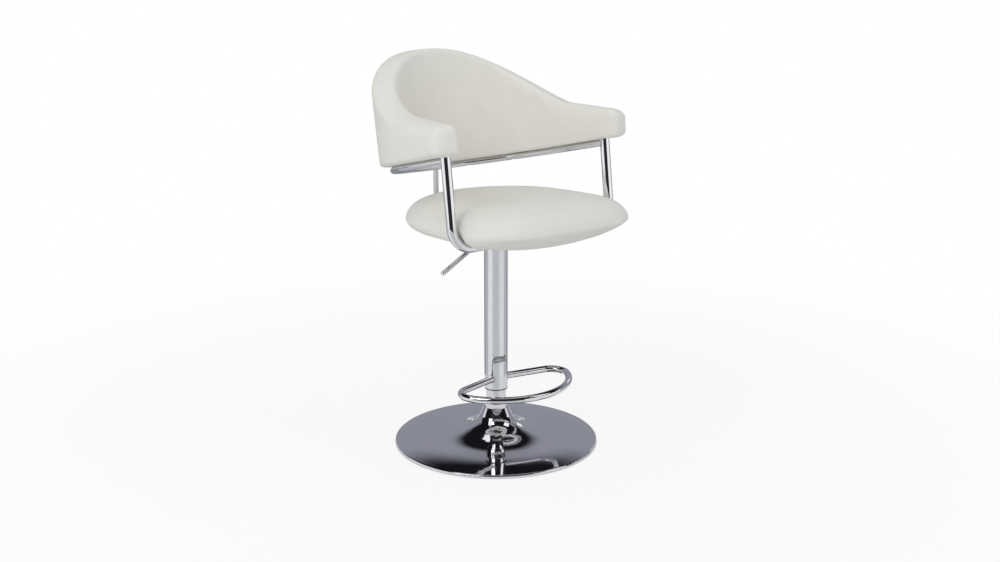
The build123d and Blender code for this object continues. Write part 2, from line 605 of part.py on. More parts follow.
def board_section(along, grow):
    """Draw the stiffening board's section, grown all round for the slot that holds it."""
    with BuildSketch(pad_plane(along)) as section:
        with Locations((0, SOFT_GAP - 2 * grow)):
            Rectangle(
                BACK_BOARD_T + 2 * grow,
                pad_height(along) - BACK_BOARD_TOP_IN + 3 * grow,
                align=(Align.CENTER, Align.MIN),
            )
    return section.sketch


def spread(reach, beyond=0.0):
    """Evenly spaced distances along the plan line, from one arm to the other, the ends moved outwards."""
    inner = [reach * (2 * i / (PAD_STATIONS - 1) - 1) for i in range(1, PAD_STATIONS - 1)]
    return [-reach - beyond, *inner, reach + beyond]


with BuildPart() as back_board:
    loft([board_section(along, 0) for along in spread(board_reach)])
    with Locations(*screw_places):
        Cylinder(
            SCREW_R,
            rail_drop + SCREW_BITE,
            align=(Align.CENTER, Align.CENTER, Align.MIN),
            mode=Mode.SUBTRACT,
        )
back_board.part.label = "back_board"
export_step(back_board.part, "parts/back_board.step")

with BuildPart() as back_pad:
    loft([pad_section(along) for along in spread(pad_reach)])
    for side in (-1, 1):
        tip_axis = Axis(pad_plane(side * pad_reach).origin, LEAN_DIR * -side)
        revolve(pad_section(side * pad_reach, outer_half=True), axis=tip_axis, revolution_arc=180)
    slot = [board_section(along, SLIDE_GAP) for along in spread(board_reach, SLIDE_GAP)]
    loft(slot, mode=Mode.SUBTRACT)
back_pad.part.label = "back_pad"
export_step(back_pad.part, "parts/back_pad.step")

# Seat: board, dust cover, crowned cushion and the bolts that hold it


def seat_outline(level, inset, tuck=0.0, tilt=0.0):
    """Draw the seat's plan at a level: round rear, straight sides, bowed front with round corners."""
    half = SEAT_HALF_W - inset
    front = SEAT_FRONT_Y + inset + tuck
    rear_centre = SEAT_REAR_Y - SEAT_HALF_W
    bow = SEAT_FRONT_BOW * half / SEAT_HALF_W
    corner = min(SEAT_CORNER_R - CORNER_SHRINK * inset, 0.9 * half)
    with BuildSketch(Plane.XY.offset(level).rotated((-tilt, 0, 0))) as outline:
        with BuildLine():
            Line((half, front + bow), (half, rear_centre))
            CenterArc((0, rear_centre), half, 0, 90)
            CenterArc((0, rear_centre), half, 90, 90)
            Line((-half, rear_centre), (-half, front + bow))
            ThreePointArc((-half, front + bow), (0, front), (half, front + bow))
        make_face()
        fillet(outline.vertices().group_by(Axis.Y)[0], corner)
    return outline.sketch


bolt_spots = [(x, y) for x in (-MOUNT_BOLT_X, MOUNT_BOLT_X) for y in (-MOUNT_BOLT_Y, MOUNT_BOLT_Y)]
tab_spots = [
    (x, FRAME_RUN_Y + y)
    for x in (-FRAME_TAB_X, FRAME_TAB_X)
    for y in (-FRAME_BOLT_REACH, FRAME_BOLT_REACH)
]

with BuildPart() as dust_cover:
    extrude(seat_outline(SEAT_UNDER_Z, DUST_IN, SEAT_FRONT_TUCK), amount=DUST_T)
    with Locations(*[(x, y, BOARD_Z) for x, y in bolt_spots + tab_spots]):
        Hole(BOLT_R + HOLE_GAP, DUST_T)
dust_cover.part.label = "dust_cover"
export_step(dust_cover.part, "parts/dust_cover.step")

with BuildPart() as seat_board:
    extrude(seat_outline(BOARD_Z, BOARD_IN, SEAT_FRONT_TUCK), amount=BOARD_T)
    with Locations(*[(x, y, BOARD_TOP_Z) for x, y in bolt_spots + tab_spots]):
        CounterBoreHole(NUT_R + HOLE_GAP, NUT_FLANGE_R + HOLE_GAP, NUT_FLANGE_T + HOLE_GAP, BOARD_T)
seat_board.part.label = "seat_board"
export_step(seat_board.part, "parts/seat_board.step")

with BuildPart() as tee_nuts:
    with BuildSketch(Plane.XY.offset(BOARD_TOP_Z - NUT_FLANGE_T)):
        with Locations(*bolt_spots, *tab_spots):
            Circle(NUT_FLANGE_R)
            Circle(BOLT_R + HOLE_GAP, mode=Mode.SUBTRACT)
    extrude(amount=NUT_FLANGE_T)
    with BuildSketch(Plane.XY.offset(BOARD_TOP_Z - NUT_FLANGE_T)):
        with Locations(*bolt_spots, *tab_spots):
            Circle(NUT_R)
            Circle(BOLT_R + HOLE_GAP, mode=Mode.SUBTRACT)
    extrude(amount=NUT_FLANGE_T + BOLT_SHORT - BOARD_T)
tee_nuts.part.label = "tee_nuts"
export_step(tee_nuts.part, "parts/tee_nuts.step")


def bolts(spots):
    """Add hexagon-head bolts whose heads bear upwards on the underside of the plate or tabs."""
    with BuildSketch(Plane.XY.offset(MOUNT_Z)) as heads:
        with Locations(*spots):
            RegularPolygon(BOLT_R + BOLT_HEAD_W, 6)
    extrude(heads.sketch, amount=-BOLT_HEAD_H)
    with BuildSketch(Plane.XY.offset(MOUNT_Z)) as shanks:
        with Locations(*spots):
            Circle(BOLT_R)
    extrude(shanks.sketch, amount=BOLT_LENGTH)


with BuildPart() as plate_bolts:
    bolts(bolt_spots)
plate_bolts.part.label = "plate_bolts"
export_step(plate_bolts.part, "parts/plate_bolts.step")

with BuildPart() as frame_bolts:
    bolts(tab_spots)
frame_bolts.part.label = "frame_bolts"
export_step(frame_bolts.part, "parts/frame_bolts.step")

with BuildPart() as seat_cushion:
    layers = []
    # Below the belt the outline draws in, most at the front, and loses the tilt that the crown has.
    for angle in range(-90, 1, LAYER_STEP):
        drop, draw_in = -sin(radians(angle)), SEAT_DRAW_IN * (1 - cos(radians(angle)))
        level = BELT_Z - BELT_RISE * drop
        layers.append(seat_outline(level, draw_in, SEAT_FRONT_TUCK * drop, SEAT_TILT * (1 - drop)))
    for angle in range(LAYER_STEP, CROWN_ANGLE + 1, LAYER_STEP):
        rise, reach = sin(radians(angle)) ** CROWN_POWER, cos(radians(angle)) ** CROWN_POWER
        layers.append(seat_outline(BELT_Z + CROWN_RISE * rise, CROWN_IN * (1 - reach), tilt=SEAT_TILT))
    loft(layers, ruled=True)
    extrude(
        seat_outline(LIP_Z, BOARD_IN - SLIDE_GAP, SEAT_FRONT_TUCK),
        amount=SEAT_LIP + BOARD_T + SLIDE_GAP,
        mode=Mode.SUBTRACT,
    )
    sweep(tube_section(frame_line.wire(), UPRIGHT_R + NOTCH_GAP), path=frame_line.wire(), mode=Mode.SUBTRACT)
    sweep(tube_section(rear_line.wire(), REAR_R + NOTCH_GAP), path=rear_line.wire(), mode=Mode.SUBTRACT)
seat_cushion.part.label = "seat_cushion"
export_step(seat_cushion.part, "parts/seat_cushion.step")
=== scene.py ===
"""Adjustable swivel stool: looks, in metres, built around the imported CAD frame."""

from math import cos, pi, radians, sin, tan

import bmesh
import bpy
import numpy as np
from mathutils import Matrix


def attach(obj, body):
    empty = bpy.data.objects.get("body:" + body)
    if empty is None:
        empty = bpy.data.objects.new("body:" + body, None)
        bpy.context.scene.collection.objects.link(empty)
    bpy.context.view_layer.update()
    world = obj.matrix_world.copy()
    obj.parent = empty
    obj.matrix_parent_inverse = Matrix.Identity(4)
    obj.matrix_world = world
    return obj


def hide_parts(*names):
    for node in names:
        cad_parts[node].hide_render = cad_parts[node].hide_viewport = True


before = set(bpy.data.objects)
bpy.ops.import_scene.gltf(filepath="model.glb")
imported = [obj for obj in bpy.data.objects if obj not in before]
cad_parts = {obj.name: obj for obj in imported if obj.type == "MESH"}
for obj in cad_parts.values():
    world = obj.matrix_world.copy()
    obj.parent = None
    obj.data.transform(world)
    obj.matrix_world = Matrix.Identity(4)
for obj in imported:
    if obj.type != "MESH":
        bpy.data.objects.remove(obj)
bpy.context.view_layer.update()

# Floor ring
# A flat ring of moulded black rubber under the rim of the base, which keeps the metal off the floor.
# It is glued to the ballast plate, and only its edge shows from low down.


def linear(code):
    """Turn an sRGB hex colour into linear RGBA, each channel by the standard sRGB curve."""
    value = np.array([int(code[i:i + 2], 16) for i in (1, 3, 5)]) / 255
    return (*np.where(value <= 0.04045, value / 12.92, ((value + 0.055) / 1.055) ** 2.4), 1.0)


def add(tree, kind, inputs=None, **settings):
    """Add a node with its settings, and set or link each of the inputs that are named."""
    node = tree.nodes.new(kind)
    for name, value in settings.items():
        setattr(node, name, value)
    for name, value in (inputs or {}).items():
        if isinstance(value, bpy.types.NodeSocket):
            tree.links.new(value, node.inputs[name])
        else:
            node.inputs[name].default_value = value
    return node


def start_finish(name, constants):
    """Start a material: a Principled shader with its constant sockets set, wired to the output."""
    material = bpy.data.materials.new(name)
    material.use_nodes = True
    tree = material.node_tree
    tree.nodes.clear()
    shader = add(tree, "ShaderNodeBsdfPrincipled", constants)
    add(tree, "ShaderNodeOutputMaterial", {"Surface": shader.outputs["BSDF"]})
    return material, tree, shader


def wire(tree, shader, tone, rough, bump):
    """Link a colour, a roughness and a bump to the shader."""
    tree.links.new(tone.outputs[2], shader.inputs["Base Color"])
    tree.links.new(rough.outputs["Result"], shader.inputs["Roughness"])
    tree.links.new(bump.outputs["Normal"], shader.inputs["Normal"])


def dress(material, *names):
    """Give these CAD nodes a finish in place of the plain one that they were packed with."""
    for name in names:
        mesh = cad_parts[name].data
        mesh.materials.clear()
        mesh.materials.append(material)


# Moulded rubber: matt black with a faint dusty bloom, and a fine tooth from the mould.
RUBBER_BLOOM_MM, RUBBER_TOOTH_MM = 30.0, 1.2
rubber, tree, shader = start_finish("moulded_rubber", {"IOR": 1.52, "Specular IOR Level": 0.35})
place = add(tree, "ShaderNodeTexCoord").outputs["Object"]
bloom = add(tree, "ShaderNodeTexNoise", {"Vector": place, "Scale": 1000 / RUBBER_BLOOM_MM, "Detail": 4.0})
tooth = add(tree, "ShaderNodeTexNoise", {"Vector": place, "Scale": 1000 / RUBBER_TOOTH_MM, "Detail": 2.0})
tone = add(tree, "ShaderNodeMix", {0: bloom.outputs["Fac"], 6: linear("#161617"), 7: linear("#26272A")},
           data_type="RGBA")
rough = add(tree, "ShaderNodeMapRange", {"Value": bloom.outputs["Fac"], "To Min": 0.7, "To Max": 0.92})
bump = add(tree, "ShaderNodeBump", {"Height": tooth.outputs["Fac"], "Strength": 0.35, "Distance": 0.0002})
wire(tree, shader, tone, rough, bump)
dress(rubber, "floor_ring")

# Ballast plate
# A cast iron disc inside the base, whose weight keeps the stool upright.
# It is painted black after casting, and seen only from underneath.

# Painted casting: satin black over the coarse skin that the sand leaves.
SAND_MM, PAINT_POOL_MM = 2.5, 25.0
casting, tree, shader = start_finish("painted_casting", {"IOR": 1.5})
place = add(tree, "ShaderNodeTexCoord").outputs["Object"]
sand = add(tree, "ShaderNodeTexNoise", {"Vector": place, "Scale": 1000 / SAND_MM, "Detail": 3.0})
pool = add(tree, "ShaderNodeTexNoise", {"Vector": place, "Scale": 1000 / PAINT_POOL_MM, "Detail": 3.0})
tone = add(tree, "ShaderNodeMix", {0: pool.outputs["Fac"], 6: linear("#1B1B1C"), 7: linear("#2B2A2A")},
           data_type="RGBA")
rough = add(tree, "ShaderNodeMapRange", {"Value": sand.outputs["Fac"], "To Min": 0.42, "To Max": 0.75})
bump = add(tree, "ShaderNodeBump", {"Height": sand.outputs["Fac"], "Strength": 0.5, "Distance": 0.0005})
wire(tree, shader, tone, rough, bump)
dress(casting, "ballast_plate")

# Base shell
# The trumpet of the base is one disc of sheet steel spun on a lathe over a former, with a rolled rim.
# It is polished and chrome plated, and sits over the ballast plate.

# Spun chrome: a clear mirror, with faint rings where the spinning tool ran round and a slow waviness.
SPIN_PITCH_MM, SHEET_WAVE_MM, HAZE_MM = 9.0, 70.0, 24.0
spun_chrome, tree, shader = start_finish("spun_chrome_plate", {"Metallic": 1.0})
place = add(tree, "ShaderNodeTexCoord").outputs["Object"]
flat = add(tree, "ShaderNodeVectorMath", {0: place, 1: (1.0, 1.0, 0.0)}, operation="MULTIPLY")
radius = add(tree, "ShaderNodeVectorMath", {0: flat.outputs["Vector"]}, operation="LENGTH")
rings = add(tree, "ShaderNodeTexNoise", {"W": radius.outputs["Value"], "Scale": 1000 / SPIN_PITCH_MM,
                                         "Detail": 2.0}, noise_dimensions="1D")
wave = add(tree, "ShaderNodeTexNoise", {"Vector": place, "Scale": 1000 / SHEET_WAVE_MM, "Detail": 1.0})
haze = add(tree, "ShaderNodeTexNoise", {"Vector": place, "Scale": 1000 / HAZE_MM, "Detail": 3.0})
tone = add(tree, "ShaderNodeMix", {0: haze.outputs["Fac"], 6: linear("#E4E5EA"), 7: linear("#EDEDF0")},
           data_type="RGBA")
rough = add(tree, "ShaderNodeMapRange", {"Value": haze.outputs["Fac"], "To Min": 0.02, "To Max": 0.09})
ripple = add(tree, "ShaderNodeBump", {"Height": rings.outputs["Fac"], "Strength": 0.05, "Distance": 0.0003})
sway = add(tree, "ShaderNodeBump", {"Height": wave.outputs["Fac"], "Strength": 0.25, "Distance": 0.001,
                                    "Normal": ripple.outputs["Normal"]})
wire(tree, shader, tone, rough, sway)
dress(spun_chrome, "base_shell")

# Hub, screws and the inside of the gas lift
# Turned and pressed steel pieces that hold the column upright and let it turn and rise.
# They are bright zinc plated, and most are shut away inside the tubes.

# Zinc plated steel: bluish grey, a little cloudy, with fine lathe lines round the column's axis.
LATHE_MM, CLOUD_MM = 0.8, 8.0
zinc, tree, shader = start_finish("zinc_plated_steel", {"Metallic": 1.0})
place = add(tree, "ShaderNodeTexCoord").outputs["Object"]
flat = add(tree, "ShaderNodeVectorMath", {0: place, 1: (1.0, 1.0, 0.0)}, operation="MULTIPLY")
radius = add(tree, "ShaderNodeVectorMath", {0: flat.outputs["Vector"]}, operation="LENGTH")
lathe = add(tree, "ShaderNodeTexNoise", {"W": radius.outputs["Value"], "Scale": 1000 / LATHE_MM},
            noise_dimensions="1D")
cloud = add(tree, "ShaderNodeTexNoise", {"Vector": place, "Scale": 1000 / CLOUD_MM, "Detail": 4.0})
tone = add(tree, "ShaderNodeMix", {0: cloud.outputs["Fac"], 6: linear("#9EA3A9"), 7: linear("#C6CACD")},
           data_type="RGBA")
rough = add(tree, "ShaderNodeMapRange", {"Value": cloud.outputs["Fac"], "To Min": 0.24, "To Max": 0.42})
bump = add(tree, "ShaderNodeBump", {"Height": lathe.outputs["Fac"], "Strength": 0.15, "Distance": 0.0001})
wire(tree, shader, tone, rough, bump)
dress(zinc, "base_hub", "hub_screws", "tube_end_disc", "lower_race", "bearing_balls", "upper_race",
      "piston_rod", "rod_clip", "cylinder_gland")

# Cylinder, tapered hub and mount plate
# The cylinder of the gas lift is drawn steel. The hub and plate that hold the seat are pressed and welded.
# All are stoved with black enamel.

# Black enamel: satin, with a slight orange peel from the spray.
PEEL_MM, ENAMEL_CLOUD_MM = 2.2, 30.0
enamel, tree, shader = start_finish("black_enamel", {"IOR": 1.5, "Coat Weight": 0.15, "Coat Roughness": 0.2})
place = add(tree, "ShaderNodeTexCoord").outputs["Object"]
peel = add(tree, "ShaderNodeTexNoise", {"Vector": place, "Scale": 1000 / PEEL_MM, "Detail": 1.0})
cloud = add(tree, "ShaderNodeTexNoise", {"Vector": place, "Scale": 1000 / ENAMEL_CLOUD_MM, "Detail": 3.0})
tone = add(tree, "ShaderNodeMix", {0: cloud.outputs["Fac"], 6: linear("#121213"), 7: linear("#1E1E20")},
           data_type="RGBA")
rough = add(tree, "ShaderNodeMapRange", {"Value": cloud.outputs["Fac"], "To Min": 0.3, "To Max": 0.46})
bump = add(tree, "ShaderNodeBump", {"Height": peel.outputs["Fac"], "Strength": 0.2, "Distance": 0.0002})
wire(tree, shader, tone, rough, bump)
dress(enamel, "cylinder", "taper_hub", "mount_plate", "lever_bracket")

# Bushes, piston and plugs
# Moulded nylon guides between the sliding tubes, the cap of the cover tube and the plugs of the uprights.
# The lip of the cover's bush is the thin dark ring at its lower end.

# Moulded nylon: dark charcoal, semi-matt, with a fine spark-eroded grain.
SPARK_MM = 0.9
nylon, tree, shader = start_finish("moulded_nylon", {"IOR": 1.53})
place = add(tree, "ShaderNodeTexCoord").outputs["Object"]
spark = add(tree, "ShaderNodeTexNoise", {"Vector": place, "Scale": 1000 / SPARK_MM, "Detail": 2.0})
tone = add(tree, "ShaderNodeMix", {0: spark.outputs["Fac"], 6: linear("#151516"), 7: linear("#212123")},
           data_type="RGBA")
rough = add(tree, "ShaderNodeMapRange", {"Value": spark.outputs["Fac"], "To Min": 0.45, "To Max": 0.62})
bump = add(tree, "ShaderNodeBump", {"Height": spark.outputs["Fac"], "Strength": 0.3, "Distance": 0.0001})
wire(tree, shader, tone, rough, bump)
dress(nylon, "guide_bush", "piston", "cover_bush", "tube_cap", "upright_caps")

# Column tubes, footrest and release lever
# The column is a stand tube with a collar over the throat of the base and a cover tube that slides over it.
# The footrest is a bent tube welded to the cover, and the lever a bent rod. All are polished and chromed.

# Chrome plated tube: a clear mirror, with faint polishing haze and the slight waviness of drawn tube.
TUBE_WAVE_MM, POLISH_MM = 45.0, 12.0
chrome, tree, shader = start_finish("chrome_plated_tube", {"Metallic": 1.0})
place = add(tree, "ShaderNodeTexCoord").outputs["Object"]
wave = add(tree, "ShaderNodeTexNoise", {"Vector": place, "Scale": 1000 / TUBE_WAVE_MM, "Detail": 1.0})
polish = add(tree, "ShaderNodeTexNoise", {"Vector": place, "Scale": 1000 / POLISH_MM, "Detail": 3.0})
tone = add(tree, "ShaderNodeMix", {0: polish.outputs["Fac"], 6: linear("#E6E7EA"), 7: linear("#EFEFF1")},
           data_type="RGBA")
rough = add(tree, "ShaderNodeMapRange", {"Value": polish.outputs["Fac"], "To Min": 0.03, "To Max": 0.1})
bump = add(tree, "ShaderNodeBump", {"Height": wave.outputs["Fac"], "Strength": 0.15, "Distance": 0.0005})
wire(tree, shader, tone, rough, bump)
dress(chrome, "base_collar", "stand_tube", "cover_tube", "footrest", "lever")
dress(zinc, "lever_pin", "release_button")


MERGE_WITHIN, SLIVER = 1e-5, 1e-6


def panel(name, points, material):
    """Make a mesh object of a grid of points whose rows are closed loops, with points that meet merged."""
    rows, loop = points.shape[:2]
    index = np.arange(rows * loop).reshape(rows, loop)
    index = np.hstack([index, index[:, :1]])
    quads = np.stack([index[:-1, :-1], index[1:, :-1], index[1:, 1:], index[:-1, 1:]], axis=-1)
    mesh = bpy.data.meshes.new(name)
    mesh.from_pydata(points.reshape(-1, 3).tolist(), [], quads.reshape(-1, 4).tolist())
    tidy = bmesh.new()
    tidy.from_mesh(mesh)
    bmesh.ops.remove_doubles(tidy, verts=tidy.verts, dist=MERGE_WITHIN)
    bmesh.ops.dissolve_degenerate(tidy, edges=tidy.edges, dist=SLIVER)
    bmesh.ops.recalc_face_normals(tidy, faces=tidy.faces)
    tidy.to_mesh(mesh)
    tidy.free()
    mesh.shade_smooth()
    mesh.materials.append(material)
    piece = bpy.data.objects.new(name, mesh)
    bpy.context.scene.collection.objects.link(piece)
    return piece


def saddle(start, way, radius, wall_start, wall_way, wall_radius):
    """Curve where a tube leaves the wall of another, as points, with the way out of the tube's side at each.

    Each line along the tube's skin is start + r*(cos a * e1 + sin a * e2) + t*way, where t is the larger root
    of the quadratic that puts the point at the wall's radius from the wall's own line.
    """
    way, wall_way = np.array(way) / np.linalg.norm(way), np.array(wall_way) / np.linalg.norm(wall_way)
    first = np.cross(way, wall_way)
    first /= np.linalg.norm(first)
    turn = np.linspace(0, 2 * pi, BEAD_STEPS, endpoint=False)[:, None]
    out = np.cos(turn) * first + np.sin(turn) * np.cross(way, first)
    skin = np.array(start) + radius * out
    offset = skin - np.array(wall_start)
    offset = offset - (offset @ wall_way)[:, None] * wall_way
    slope = way - (way @ wall_way) * wall_way
    a, b, c = slope @ slope, 2 * offset @ slope, (offset ** 2).sum(axis=1) - wall_radius ** 2
    run = (-b + np.sqrt(b * b - 4 * a * c)) / (2 * a)
    return skin + run[:, None] * way, out, way


def weld_bead(name, place):
    """A weld: a small round bead carried round a saddle curve, its radius rippled as r*(1 + k*cos(n*a))."""
    curve, out, way = place
    turn = np.linspace(0, 2 * pi, BEAD_STEPS, endpoint=False)[:, None, None]
    ring = np.linspace(0, 2 * pi, BEAD_SIDES, endpoint=False)[None, :, None]
    radius = BEAD_R * (1 + BEAD_RIPPLE * np.cos(BEAD_WAVES * turn))
    points = curve[:, None] + radius * (np.cos(ring) * out[:, None] + np.sin(ring) * way)
    bead = panel(name, np.concatenate([points, points[:1]]), chrome)
    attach(bead, "upper")


# The welds are plated over with the tubes.
BEAD_R, BEAD_RIPPLE, BEAD_WAVES = 0.0016, 0.12, 22
BEAD_STEPS, BEAD_SIDES = 176, 12
UPWARDS, SIDEWAYS = (0, 0, 1), (1, 0, 0)
COVER_R, FOOT_Z = 0.0275, 0.160
FOOT_ROOT, FOOT_CORNER, FOOT_TUBE_R = (0.0120, -0.0106), (0.1616, -0.0442), 0.008
for side, label in ((-1, "right"), (1, "left")):
    root = (side * FOOT_ROOT[0], FOOT_ROOT[1], FOOT_Z)
    arm = (side * (FOOT_CORNER[0] - FOOT_ROOT[0]), FOOT_CORNER[1] - FOOT_ROOT[1], 0)
    weld_bead("footrest_weld_" + label, saddle(root, arm, FOOT_TUBE_R, (0, 0, 0), UPWARDS, COVER_R))

# Front frame, rail and rear upright
# One bent tube makes both front uprights and the run under the seat; the rail under the back is welded to it,
# and a thinner tube behind carries the rail. All are polished and chrome plated.

dress(chrome, "front_frame", "frame_tabs", "rail", "rear_upright")

FRAME_HALF_W, UPRIGHT_R, RAIL_R, REAR_R = 0.2285, 0.011, 0.008, 0.00625
UPRIGHT_Y, UPRIGHT_TOP_Z, RAIL_DROP = -0.116, 0.717, 0.0085
UPRIGHT_LEAN, RAIL_SLOPE = radians(7.0), radians(12.35)
REAR_Y, REAR_TOP_Z = 0.2305, 0.6324
rail_y = UPRIGHT_Y - RAIL_DROP * sin(RAIL_SLOPE)
rail_z = UPRIGHT_TOP_Z - RAIL_DROP * cos(RAIL_SLOPE)
rail_way, upright_way = (0, cos(RAIL_SLOPE), -sin(RAIL_SLOPE)), (0, sin(UPRIGHT_LEAN), cos(UPRIGHT_LEAN))
for side, label in ((-1, "right"), (1, "left")):
    upright_top = (side * FRAME_HALF_W, UPRIGHT_Y, UPRIGHT_TOP_Z)
    rail_end = (side * FRAME_HALF_W, rail_y, rail_z)
    weld_bead("rail_weld_" + label, saddle(rail_end, rail_way, RAIL_R, upright_top, upright_way, UPRIGHT_R))
rear_top = (0, REAR_Y, REAR_TOP_Z)
weld_bead("rear_weld", saddle(rear_top, (0, 0, -1), REAR_R, rear_top, SIDEWAYS, RAIL_R))

# Seat board, dust cover and bolts
# A board of birch plywood under the cushion takes tee nuts, and bolts hold the plate and the frame to it.
# A black spunbond cloth is stapled over its underside.

# Birch plywood: pale veneer with long grain on the faces and darker lines between the plies at the edge.
GRAIN_MM, GRAIN_STRETCH, PLY_MM = 3.0, 0.06, 1.5
BANDS_PER_UNIT = 20
plywood, tree, shader = start_finish("birch_plywood", {"IOR": 1.5})
place = add(tree, "ShaderNodeTexCoord").outputs["Object"]
stretched = add(tree, "ShaderNodeMapping", {"Vector": place, "Scale": (1.0, GRAIN_STRETCH, 1.0)})
grain = add(tree, "ShaderNodeTexNoise", {"Vector": stretched.outputs["Vector"], "Scale": 1000 / GRAIN_MM,
                                         "Detail": 5.0, "Distortion": 0.4})
plies = add(tree, "ShaderNodeTexWave", {"Vector": place, "Scale": 1000 / PLY_MM / BANDS_PER_UNIT,
                                        "Distortion": 0.3}, wave_type="BANDS", bands_direction="Z")
veneer = add(tree, "ShaderNodeMix", {0: grain.outputs["Fac"], 6: linear("#B98E5C"), 7: linear("#D9B88A")},
             data_type="RGBA")
tone = add(tree, "ShaderNodeMix", {0: plies.outputs["Fac"], 6: veneer.outputs[2], 7: linear("#C9A677")},
           data_type="RGBA")
rough = add(tree, "ShaderNodeMapRange", {"Value": grain.outputs["Fac"], "To Min": 0.5, "To Max": 0.75})
bump = add(tree, "ShaderNodeBump", {"Height": grain.outputs["Fac"], "Strength": 0.2, "Distance": 0.0002})
wire(tree, shader, tone, rough, bump)
dress(plywood, "seat_board", "back_board")

# Spunbond cloth: black fibres pressed together, bonded in a grid of small flat dots.
BOND_MM, FIBRE_MM = 3.0, 0.8
spunbond, tree, shader = start_finish("black_spunbond", {"IOR": 1.5, "Sheen Weight": 0.25})
place = add(tree, "ShaderNodeTexCoord").outputs["Object"]
dots = add(tree, "ShaderNodeTexVoronoi", {"Vector": place, "Scale": 1000 / BOND_MM, "Randomness": 0.15})
fibres = add(tree, "ShaderNodeTexNoise", {"Vector": place, "Scale": 1000 / FIBRE_MM, "Detail": 3.0})
tone = add(tree, "ShaderNodeMix", {0: fibres.outputs["Fac"], 6: linear("#101011"), 7: linear("#29292B")},
           data_type="RGBA")
rough = add(tree, "ShaderNodeMapRange", {"Value": dots.outputs["Distance"], "To Min": 0.6, "To Max": 0.95})
bump = add(tree, "ShaderNodeBump", {"Height": dots.outputs["Distance"], "Strength": 0.4, "Distance": 0.0004})
wire(tree, shader, tone, rough, bump)
dress(spunbond, "dust_cover")
dress(zinc, "tee_nuts", "plate_bolts", "frame_bolts", "pad_screws")

# Seat cushion
# Moulded foam on the seat board, under a cover of off-white leatherette that is drawn tight and stapled.
# It is crowned, draws in towards its underside, and dents where the uprights pass close by.


def read_points(mesh):
    """Return a mesh's points as one array."""
    flat_list = np.empty(len(mesh.vertices) * 3)
    mesh.vertices.foreach_get("co", flat_list)
    return flat_list.reshape(-1, 3)


def write_points(mesh, points):
    """Put an array of points back into a mesh."""
    mesh.vertices.foreach_set("co", points.reshape(-1))
    mesh.update()


def tension(piece, held, pressure, cap):
    """Pull the cover tight over the foam: stiff cloth under pressure settles, fixed at the held points.

    A point that moved by d then keeps cap * tanh(d / cap) of its move, so no point goes further than cap.
    """
    start = read_points(piece.data)
    group = piece.vertex_groups.new(name="held")
    group.add(np.flatnonzero(held).tolist(), 1.0, "REPLACE")
    cloth = piece.modifiers.new("tension", "CLOTH")
    cloth.settings.vertex_group_mass = group.name
    cloth.settings.tension_stiffness, cloth.settings.compression_stiffness = VINYL_STIFFNESS
    cloth.settings.bending_stiffness = VINYL_BENDING
    cloth.settings.use_pressure = True
    cloth.settings.uniform_pressure_force = pressure
    cloth.settings.effector_weights.gravity = 0.0
    cloth.point_cache.frame_start, cloth.point_cache.frame_end = 1, SETTLE_FRAMES
    for step in range(1, SETTLE_FRAMES + 1):
        bpy.context.scene.frame_set(step)
    settled = piece.evaluated_get(bpy.context.evaluated_depsgraph_get()).to_mesh()
    move = read_points(settled) - start
    far = np.linalg.norm(move, axis=1, keepdims=True) + TINY
    piece.modifiers.remove(cloth)
    piece.vertex_groups.remove(group)
    bpy.context.scene.frame_set(1)
    write_points(piece.data, start + move / far * cap * np.tanh(far / cap))


# Leatherette: embossed vinyl on a knit backing, off-white and slightly mottled, with a soft satin gloss
# and a pebbled grain; the grain of about 1 mm is drawn at more than twice that, so that it shows.
PEBBLE_MM, PORE_MM, MOTTLE_MM = 2.4, 0.9, 40.0
leatherette, tree, shader = start_finish("offwhite_leatherette", {"IOR": 1.5, "Specular IOR Level": 0.45})
place = add(tree, "ShaderNodeTexCoord").outputs["Object"]
pebble = add(tree, "ShaderNodeTexVoronoi", {"Vector": place, "Scale": 1000 / PEBBLE_MM}, feature="SMOOTH_F1")
pore = add(tree, "ShaderNodeTexNoise", {"Vector": place, "Scale": 1000 / PORE_MM, "Detail": 3.0})
mottle = add(tree, "ShaderNodeTexNoise", {"Vector": place, "Scale": 1000 / MOTTLE_MM, "Detail": 3.0})
tone = add(tree, "ShaderNodeMix", {0: mottle.outputs["Fac"], 6: linear("#E4E2DA"), 7: linear("#ECEAE2")},
           data_type="RGBA")
rough = add(tree, "ShaderNodeMapRange", {"Value": pebble.outputs["Distance"], "To Min": 0.42, "To Max": 0.56})
grain = add(tree, "ShaderNodeBump", {"Height": pebble.outputs["Distance"], "Strength": 0.12,
                                     "Distance": 0.0004})
bump = add(tree, "ShaderNodeBump", {"Height": pore.outputs["Fac"], "Strength": 0.06, "Distance": 0.0002,
                                    "Normal": grain.outputs["Normal"]})
wire(tree, shader, tone, rough, bump)

SEAT_HALF_W, SEAT_FRONT_Y, SEAT_REAR_CENTRE_Y = 0.2165, -0.2915, -0.0176
SEAT_BOW, SEAT_CORNER_R, CORNER_SHRINK, CORNER_MOST = 0.0239, 0.1271, 0.45, 0.9
FRONT_STEPS, CORNER_STEPS, SIDE_STEPS, REAR_STEPS = 15, 24, 16, 40
SEAT_BELT_Z, SEAT_DROP, SEAT_DRAW_IN, UNDER_POWER = 0.5521, 0.0299, 0.0492, 0.92
SEAT_TUCK, TUCK_FROM_Y, TUCK_SPAN, SEAT_BELLY = 0.0544, -0.05, 0.24, 0.011
CROWN_RISE, CROWN_IN, CROWN_FLAT, CROWN_EDGE = 0.0448, 0.1747, 6.0, 1 / 1.58
UNDER_RINGS, UNDER_LAST, CROWN_RINGS, CROWN_CROWD = 18, 5, 44, 1.4
UNDER_FILL, CROWN_FILL, SPINE_IN = 13, 6, 0.02
MIDDLE_FRONT_Y, MIDDLE_REAR_Y = -0.1, 0.0
